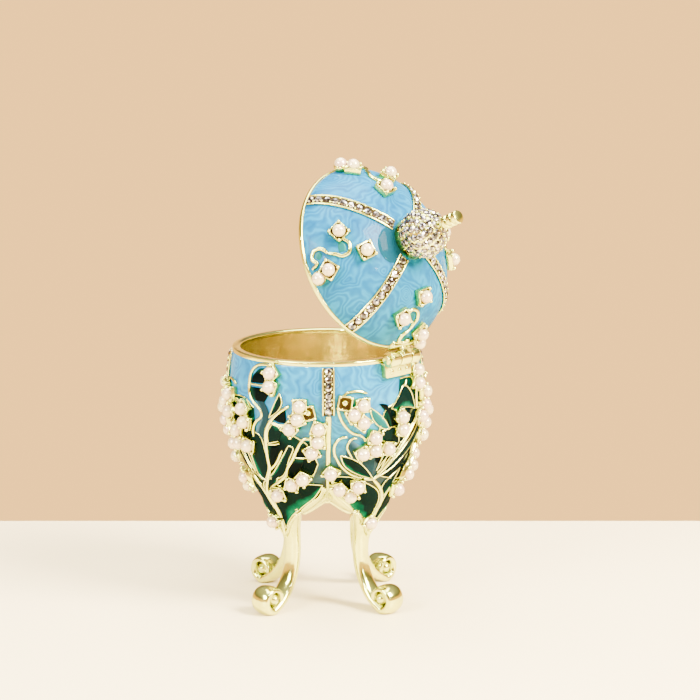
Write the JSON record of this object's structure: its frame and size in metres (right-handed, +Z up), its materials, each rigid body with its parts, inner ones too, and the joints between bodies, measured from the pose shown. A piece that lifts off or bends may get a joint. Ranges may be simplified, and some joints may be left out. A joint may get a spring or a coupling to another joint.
{
  "type": "jewelled egg trinket box",
  "caption": "Footed egg-shaped trinket box with a hinged domed lid standing open, a hollow bowl on scroll legs, set with pearls and bands of clear stones.",
  "frame": {"origin": "middle of the open box's bounding box, on the surface that the feet stand on", "axes": "+Z up, +Y from the egg's axis towards the hinge, +X along the hinge pin"},
  "size_m": [0.0474, 0.0625, 0.0988],
  "materials": {
    "enamel": "glossy translucent enamel on cast metal",
    "gold": "polished pale gold plating",
    "pearl": "cream pearl coating",
    "stone": "clear faceted"
  },
  "bodies": {
    "egg": {"body": "enamel", "hinge_pin": "gold", "body_stone_row_1": "stone", "body_stone_row_2": "stone", "body_stone_row_3": "stone", "body_stone_row_4": "stone", "body_pearls_1_1": "pearl", "body_pearls_1_2": "pearl", "body_pearls_1_3": "pearl", "body_pearls_1_4": "pearl", "body_pearls_1_5": "pearl", "body_pearls_1_6": "pearl", "body_pearls_1_7": "pearl", "body_pearls_1_8": "pearl", "body_pearls_2_1": "pearl", "body_pearls_2_2": "pearl", "body_pearls_2_3": "pearl", "body_pearls_2_4": "pearl", "body_pearls_2_5": "pearl", "body_pearls_2_6": "pearl", "body_pearls_2_7": "pearl", "body_pearls_2_8": "pearl", "body_pearls_3_1": "pearl", "body_pearls_3_2": "pearl", "body_pearls_3_3": "pearl", "body_pearls_3_4": "pearl", "body_pearls_3_5": "pearl", "body_pearls_3_6": "pearl", "body_pearls_3_7": "pearl", "body_pearls_3_8": "pearl", "body_pearls_4_1": "pearl", "body_pearls_4_2": "pearl", "body_pearls_4_3": "pearl", "body_pearls_4_4": "pearl", "body_pearls_4_5": "pearl", "body_pearls_4_6": "pearl", "body_pearls_4_7": "pearl", "body_pearls_4_8": "pearl"},
    "lid": {"lid": "enamel", "crown": "gold", "lid_stone_row_1": "stone", "lid_stone_row_2": "stone", "lid_stone_row_3": "stone", "lid_stone_row_4": "stone", "lid_pearls_1_1": "pearl", "lid_pearls_1_2": "pearl", "lid_pearls_1_3": "pearl", "lid_pearls_2_1": "pearl", "lid_pearls_2_2": "pearl", "lid_pearls_2_3": "pearl", "lid_pearls_3_1": "pearl", "lid_pearls_3_2": "pearl", "lid_pearls_3_3": "pearl", "lid_pearls_4_1": "pearl", "lid_pearls_4_2": "pearl", "lid_pearls_4_3": "pearl"}
  },
  "joints": [
    {"name": "lid_hinge", "type": "hinge", "parent": "egg", "child": "lid", "pos_m": [0, 0.015, 0.057], "axis": [1, 0, 0], "range_deg": [0, 65.3]}
  ]
}
